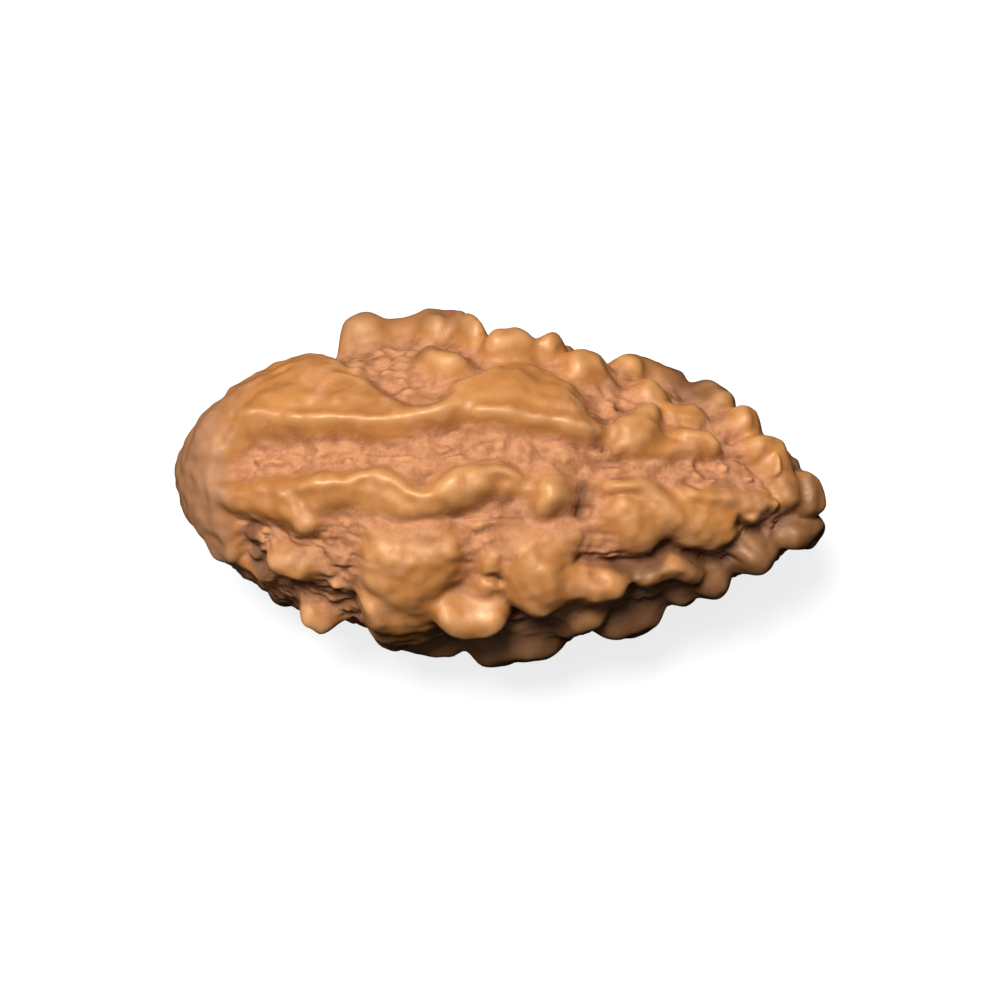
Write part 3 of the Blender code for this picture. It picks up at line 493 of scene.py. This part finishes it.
def edge_share(points, spine, widths):
    """How far each point is from the spine, as a share of the half width there: 1 at the lump's edge."""
    if len(spine) == 1:
        return np.linalg.norm(points - spine[0], axis=1) / widths[0]
    nearest = np.full(len(points), np.inf)
    for start, end, w0, w1 in zip(spine, spine[1:], widths, widths[1:]):
        run = end - start
        t = np.clip((points - start) @ run / (run @ run), 0.0, 1.0)
        away = np.linalg.norm(points - start - t[:, None] * run, axis=1)
        nearest = np.minimum(nearest, away / (w0 + t * (w1 - w0)))
    return nearest


def lump_height(points, height, roll, spine, widths):
    """The lump's height over the floor: rounded on top, with a soft foot."""
    s = np.clip((1.0 - edge_share(points, spine, widths)) / roll, 0.0, 1.0)
    return height * s * s * (3.0 - 2.0 * s)


def curved(spine):
    """The spine drawn as a smooth curve through its points."""
    knots = np.array([spine[0], *spine, spine[-1]], float)
    runs = [knots[1:2]]
    for a, b, c, d in zip(knots, knots[1:], knots[2:], knots[3:]):
        for t in np.arange(1, SPINE_STEPS + 1) / SPINE_STEPS:
            bend = (2.0 * a - 5.0 * b + 4.0 * c - d) * t * t + (3.0 * (b - c) + d - a) * t ** 3
            runs.append((b + 0.5 * ((c - a) * t + bend))[None])
    return np.concatenate(runs)


def placed(lump, place):
    """A lump with its spine as points of the body."""
    height, roll, spine = lump
    run = curved(spine)
    return height, roll, np.array([place(a, c) for a, c, _ in run]), run[:, 2] * FOOT_REACH


def hidden_lumps(shown):
    """Lumps for the side that isn't seen from the viewing side, kept clear of those that are."""
    rng = np.random.default_rng(HIDDEN_SEED)
    away = np.array((0.0, math.cos(VIEW_ELEVATION), -math.sin(VIEW_ELEVATION)))
    spines = [spine for _, _, spine, _ in shown]
    widths = [width for _, _, _, width in shown]
    centres, lumps = [], []
    for _ in range(HIDDEN_TRIES):
        direction = unit(rng.normal(size=3))
        half_width = rng.uniform(*HIDDEN_HALF_WIDTH)
        half_length = rng.uniform(*HIDDEN_HALF_LENGTH)
        height = rng.uniform(*HIDDEN_HEIGHT)
        sideways = unit(np.cross(outward(direction), rng.normal(size=3)))
        centre = crest_point(direction)
        if centre @ away < HIDDEN_FROM_DEPTH:
            continue
        if any(np.linalg.norm(centre - c) < HIDDEN_SPACING for c in centres):
            continue
        gaps = [
            edge_share(centre[None], spine, width)[0] * min(width) - max(width)
            for spine, width in zip(spines, widths)
        ]
        if min(gaps) < HIDDEN_CLEARANCE:
            continue
        reach = half_length * sideways
        centres.append(centre)
        ends = np.array((centre - reach, centre + reach))
        lumps.append((height, HIDDEN_ROLL, ends, (half_width, HIDDEN_NARROWING * half_width)))
    return lumps


def lumps_height(points):
    """Height of the lumps over the rough floor at each crest point."""
    shown = [placed(lump, seen_at) for lump in LUMPS.values()]
    shown.append(placed(REST_LUMP, under_at))
    aside = wandered(points)
    total = np.zeros(len(points))
    for lump in shown + hidden_lumps(shown):
        total += lump_height(aside, *lump) ** MERGE_POWER
    height = total ** (1.0 / MERGE_POWER)
    for pit in PITS.values():
        height -= lump_height(aside, *placed(pit, seen_at))
    return height


def mean_beside(mesh, values):
    """At each point of the mesh, the mean of the values at the points joined to it."""
    ends = np.empty(len(mesh.edges) * 2, np.int32)
    mesh.edges.foreach_get("vertices", ends)
    one, other = ends.reshape(-1, 2).T
    total = np.bincount(one, values[other], len(values)) + np.bincount(other, values[one], len(values))
    return total / np.bincount(ends, minlength=len(values))


def softened(mesh, values, rounds):
    """The values with their creases worn down."""
    for _ in range(rounds):
        values = 0.5 * (values + mean_beside(mesh, values))
    return values


def block(long_cuts, round_cuts):
    """A block with its faces cut into a grid, as directions from the middle."""
    bm = bmesh.new()
    bmesh.ops.create_cube(bm, size=2.0)
    for axis, cuts in enumerate((long_cuts, round_cuts, round_cuts)):
        edges = [e for e in bm.edges if abs((e.verts[0].co - e.verts[1].co)[axis]) > 1.0]
        bmesh.ops.subdivide_edges(bm, edges=edges, cuts=cuts, use_grid_fill=True)
    return bm


def creased(points):
    """Thin winding furrows, as a height to take off."""
    total = np.zeros(len(points))
    for along, across, depth, thinness in CREASES:
        away = np.array([noise.noise(Vector((x / along, y / across, z / across))) for x, y, z in points])
        total += depth * np.clip(1.0 - thinness * np.abs(away), 0.0, 1.0) ** 2
    return total


def keep(mesh, name, values):
    """Stores a number at each point of the mesh, for the material."""
    mesh.attributes.new(name, "FLOAT", "POINT").data.foreach_set("value", values.astype(np.float32))


def stone_mesh(name):
    """The stone: the block blown up to the body, with the relief raised along its outward ways."""
    bm = block(LONG_CUTS, ROUND_CUTS)
    mesh = bpy.data.meshes.new(name)
    bm.to_mesh(mesh)
    bm.free()
    corners = np.empty(len(mesh.vertices) * 3, np.float32)
    mesh.vertices.foreach_get("co", corners)
    even = np.tan(corners.reshape(-1, 3).astype(float) * math.pi / 4.0)
    even[:, 0] *= BLOCK_LENGTH
    direction = unit(even)
    crest = crest_point(direction)
    height = softened(mesh, lumps_height(crest), SOFTENING_ROUNDS)
    smooth = np.clip(height / SMOOTH_ABOVE, 0.0, 1.0)
    aside = wandered(crest)
    raw = sum(lump_height(aside, *placed(spot, seen_at)) for spot in RAW_SPOTS.values())
    keep(mesh, "lift", height - raw)
    keep(mesh, "stain_and_shade", sum(lump_height(aside, *placed(spot, seen_at)) for spot in STAINS_AND_PAINTED_SHADE.values()))
    for nub in NUBS.values():
        height = np.maximum(height, lump_height(aside, *placed(nub, seen_at)))
    for pit in FINE_PITS.values():
        height -= lump_height(aside, *placed(pit, seen_at))
    height -= creased(crest) * (1.0 - smooth)
    height += waves(crest, FLOOR_ROUGHNESS + FLOOR_GRAIN) * (1.0 - smooth)
    height += waves(crest, CREST_ROUGHNESS + CREST_GRAIN) * smooth
    height += waves(crest, SWELL)
    keep(mesh, "hollow", softened(mesh, height, HOLLOW_ROUNDS) - height)
    points = crest + outward(direction) * (height - FLOOR_DEPTH)[:, None]
    lowest = FLAT_SPOT_CUT - HALF_DEPTH
    points[:, 2] = np.maximum(points[:, 2], lowest)
    box = [np.array(corner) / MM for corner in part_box("seed")]
    points += (box[0] + box[1] - points.min(axis=0) - points.max(axis=0)) / 2.0 * (1.0, 1.0, 0.0)
    points[:, 2] += box[0][2] - lowest
    mesh.vertices.foreach_set("co", (points * MM).astype(np.float32).ravel())
    mesh.update()
    mesh.shade_smooth()
    return mesh


seed = bpy.data.objects.new("seed_stone", stone_mesh("seed_stone"))
bpy.context.scene.collection.objects.link(seed)

stone = bpy.data.materials.new("stone")
stone.use_nodes = True
nodes = stone.node_tree.nodes
links = stone.node_tree.links
shader = nodes["Principled BSDF"]


def wire(value, socket):
    """Links a node's output to the socket, or sets the socket to a value."""
    if isinstance(value, bpy.types.NodeSocket):
        links.new(value, socket)
    else:
        socket.default_value = value


def grain(size, detail):
    """Noise whose spots are about this size, 0 to 1."""
    made = nodes.new("ShaderNodeTexNoise")
    links.new(place, made.inputs["Vector"])
    made.inputs["Scale"].default_value = 1.0 / (size * MM)
    made.inputs["Detail"].default_value = detail
    made.inputs["Roughness"].default_value = DETAIL_ROUGHNESS
    return made.outputs["Fac"]


def ramp(value, low, high, to_low=0.0, to_high=1.0):
    """The value spread smoothly from one range to another."""
    made = nodes.new("ShaderNodeMapRange")
    made.interpolation_type = "SMOOTHSTEP"
    for name, number in (("Value", value), ("From Min", low), ("From Max", high),
                         ("To Min", to_low), ("To Max", to_high)):
        wire(number, made.inputs[name])
    return made.outputs["Result"]


def sum_of(kind, a, b):
    """Two numbers put together."""
    made = nodes.new("ShaderNodeMath")
    made.operation = kind
    wire(a, made.inputs[0])
    wire(b, made.inputs[1])
    return made.outputs["Value"]


def blended(share, a, b):
    """Colour a, going over to colour b by the share."""
    made = nodes.new("ShaderNodeMix")
    made.data_type = "RGBA"
    wire(share, made.inputs["Factor"])
    wire(a, made.inputs["A"])
    wire(b, made.inputs["B"])
    return made.outputs[2]


def kept(name):
    """A number that the mesh keeps at each of its points."""
    made = nodes.new("ShaderNodeAttribute")
    made.attribute_name = name
    return made.outputs["Fac"]


place = nodes.new("ShaderNodeTexCoord").outputs["Object"]
lift = kept("lift")
hollow = kept("hollow")
stain_and_shade = kept("stain_and_shade")
patches = grain(*PATCHES)
blush = grain(*BLUSH)
mottle = grain(*MOTTLE)
specks = grain(*SPECKS)

polished = ramp(sum_of("ADD", lift, ramp(mottle, *POLISH_WANDER)), *POLISH_COMES)
skin = blended(ramp(patches, *GOLDEN_COMES), ORANGE, GOLDEN)
skin = blended(ramp(mottle, *TAWNY_COMES), skin, TAWNY)
skin = blended(ramp(blush, *FLESH_COMES), skin, FLESH)
skin = blended(ramp(specks, *TAWNY_SPECKS), skin, TAWNY)
floor_colour = blended(ramp(mottle, *DULL_COMES), PINK, DULL_PINK)
floor_colour = blended(ramp(specks, *CLEFT_SPECKS), floor_colour, CLEFT_BROWN_AND_SHADE)
colour = blended(polished, floor_colour, skin)
# Where the relief lies hollow the colour goes over to the clefts' own dark brown, deepened as painted shade.
colour = blended(ramp(hollow, *CLEFT_SHADE_COMES), colour, CLEFT_BROWN_AND_SHADE)
# Where the relief stands out the crests go lighter: the rub of handling, with a painted highlight.
colour = blended(ramp(hollow, *RUBBED_HIGHLIGHT_COMES), colour, RUBBED_AND_HIGHLIGHT)

spot = nodes.new("ShaderNodeSeparateXYZ")
links.new(place, spot.inputs["Vector"])
cap = sum_of("ADD", spot.outputs["X"], ramp(patches, *LINE_WANDER))
# A duller, greyer brown towards the blunt end.
blunt_end_grey = ramp(cap, *BLUNT_END_GREY_COMES)
colour = blended(blunt_end_grey, colour, BLUNT_END_GREY)
# Painted shade: darker brown low on the seed, by height, with the line slanting from the blunt end to the
# tip.
under = sum_of("SUBTRACT", spot.outputs["Z"], ramp(spot.outputs["X"], *LOW_SHADE_SLANT))
under = sum_of("ADD", under, ramp(patches, *LINE_WANDER))
colour = blended(ramp(under, *LOW_SHADE_COMES), colour, LOW_PAINTED_SHADE)
# Painted shade at the back.
back = sum_of("ADD", spot.outputs["Y"], ramp(patches, *LINE_WANDER))
colour = blended(ramp(back, *SHADE_COMES), colour, SHADED)
# The listed spots go brown: partly stains, partly painted shade.
stain_and_shade_share = sum_of("MULTIPLY", stain_and_shade, ramp(mottle, *STAIN_WANDER))
colour = blended(ramp(stain_and_shade_share, *STAIN_AND_SHADE_COMES), colour, STAIN_AND_SHADE_BROWN)
links.new(colour, shader.inputs["Base Color"])

gloss = sum_of("SUBTRACT", polished, blunt_end_grey)
dullness = ramp(gloss, 0.0, 1.0, FLOOR_DULLNESS, ramp(mottle, *SKIN_DULLNESS))
dullness = sum_of("SUBTRACT", dullness, ramp(lift, *LESS_DULL))
dullness = sum_of("ADD", dullness, ramp(lift, *MORE_DULL))
links.new(dullness, shader.inputs["Roughness"])
shader.inputs["Specular IOR Level"].default_value = SHEEN
shader.inputs["Specular Tint"].default_value = WARM_SHEEN

fine = sum_of("MULTIPLY", specks, ramp(polished, *SPECKS_SHOW))
rise = sum_of("ADD", fine, sum_of("MULTIPLY", mottle, MOTTLE_SHOWS))
bump = nodes.new("ShaderNodeBump")
bump.inputs["Strength"].default_value = GRAIN_STRENGTH
bump.inputs["Distance"].default_value = GRAIN_HEIGHT
links.new(rise, bump.inputs["Height"])
links.new(bump.outputs["Normal"], shader.inputs["Normal"])

seed.data.materials.append(stone)
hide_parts("seed")
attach(seed, "root")


# Floor
# A round sheet of plain white card that the seed lies on, curved up all round at its edge like a
# bowl, so that it fills the view from any side. It isn't part of the object.

FLAT_RADIUS = 0.35
CURVE_RADIUS = 0.25
WALL_HEIGHT = 0.5
CURVE_STEPS = 12
CARD_SEGMENTS = 64
MERGE_DISTANCE = 1e-6
CARD_WHITE = 0.25
CARD_DULLNESS = 0.9
CARD_GLOW = 0.8

bm = bmesh.new()
profile = [bm.verts.new((0.0, 0.0, 0.0)), bm.verts.new((FLAT_RADIUS, 0.0, 0.0))]
for step in range(1, CURVE_STEPS + 1):
    bend = math.pi / 2.0 * step / CURVE_STEPS
    reach = FLAT_RADIUS + CURVE_RADIUS * math.sin(bend)
    profile.append(bm.verts.new((reach, 0.0, CURVE_RADIUS * (1.0 - math.cos(bend)))))
profile.append(bm.verts.new((FLAT_RADIUS + CURVE_RADIUS, 0.0, WALL_HEIGHT)))
edges = [bm.edges.new(pair) for pair in zip(profile, profile[1:])]
bmesh.ops.spin(
    bm, geom=profile + edges, axis=(0.0, 0.0, 1.0), cent=(0.0, 0.0, 0.0), angle=2.0 * math.pi,
    steps=CARD_SEGMENTS, use_merge=True)
bmesh.ops.remove_doubles(bm, verts=bm.verts, dist=MERGE_DISTANCE)
bmesh.ops.recalc_face_normals(bm, faces=bm.faces)
card_mesh = bpy.data.meshes.new("floor")
bm.to_mesh(card_mesh)
bm.free()
if card_mesh.polygons[0].normal.z < 0.0:
    card_mesh.flip_normals()
card_mesh.shade_smooth()
card = bpy.data.objects.new("floor", card_mesh)
bpy.context.scene.collection.objects.link(card)
card.visible_diffuse = False
card.visible_glossy = False
white = bpy.data.materials.new("white_card")
white.use_nodes = True
white_shader = white.node_tree.nodes["Principled BSDF"]
white_shader.inputs["Base Color"].default_value = (CARD_WHITE, CARD_WHITE, CARD_WHITE, 1.0)
white_shader.inputs["Roughness"].default_value = CARD_DULLNESS
white_shader.inputs["Emission Color"].default_value = (1.0, 1.0, 1.0, 1.0)
white_shader.inputs["Emission Strength"].default_value = CARD_GLOW
card.data.materials.append(white)


# Camera and light
# The camera looks down on the seed from in front, as in the photograph. One soft light hangs
# nearly overhead, a little to the left and behind, so the near side falls into shade, and a pale
# sky fills in from the same side.

VIEW_TURN = math.radians(2.2)
VIEW_DISTANCE = 0.2058
LENS = 200.0
CLIP_START = 0.01
TARGET_HEIGHT = 0.0055
TARGET_DROP = 0.00031
LIGHT_PLACE = Vector((-0.20, 0.04, 0.96))
LIGHT_SIZE = 0.45
LIGHT_POWER = 13.5
ROOM_LIGHT = 0.52
SKY_WAY = (-0.35, 0.05, 0.93)
SKY_FADES = (0.3, 0.95)

toward = Vector((
    math.sin(VIEW_TURN) * math.cos(VIEW_ELEVATION),
    -math.cos(VIEW_TURN) * math.cos(VIEW_ELEVATION),
    math.sin(VIEW_ELEVATION),
))
turn = (-toward).to_track_quat("-Z", "Y")
target = Vector((0.0, 0.0, TARGET_HEIGHT)) - turn @ Vector((0.0, TARGET_DROP, 0.0))
camera = bpy.data.objects.new("camera", bpy.data.cameras.new("camera"))
camera.data.lens = LENS
camera.data.clip_start = CLIP_START
camera.location = target + VIEW_DISTANCE * toward
camera.rotation_euler = turn.to_euler()
bpy.context.scene.collection.objects.link(camera)
bpy.context.scene.camera = camera

lamp = bpy.data.objects.new("soft_light", bpy.data.lights.new("soft_light", "AREA"))
lamp.data.shape = "DISK"
lamp.data.size = LIGHT_SIZE
lamp.data.energy = LIGHT_POWER
lamp.location = LIGHT_PLACE
lamp.rotation_euler = LIGHT_PLACE.to_track_quat("Z", "Y").to_euler()
bpy.context.scene.collection.objects.link(lamp)

room = bpy.data.worlds.new("room")
room.use_nodes = True
room_nodes = room.node_tree.nodes
room_links = room.node_tree.links
way = room_nodes.new("ShaderNodeTexCoord")
facing = room_nodes.new("ShaderNodeVectorMath")
facing.operation = "DOT_PRODUCT"
facing.inputs[1].default_value = SKY_WAY
room_links.new(way.outputs["Generated"], facing.inputs[0])
sky = room_nodes.new("ShaderNodeMapRange")
sky.inputs["From Min"].default_value = SKY_FADES[0]
sky.inputs["From Max"].default_value = SKY_FADES[1]
room_links.new(facing.outputs["Value"], sky.inputs["Value"])
room_links.new(sky.outputs["Result"], room_nodes["Background"].inputs["Color"])
room_nodes["Background"].inputs["Strength"].default_value = ROOM_LIGHT
bpy.context.scene.world = room
bpy.context.scene.view_settings.view_transform = "Standard"
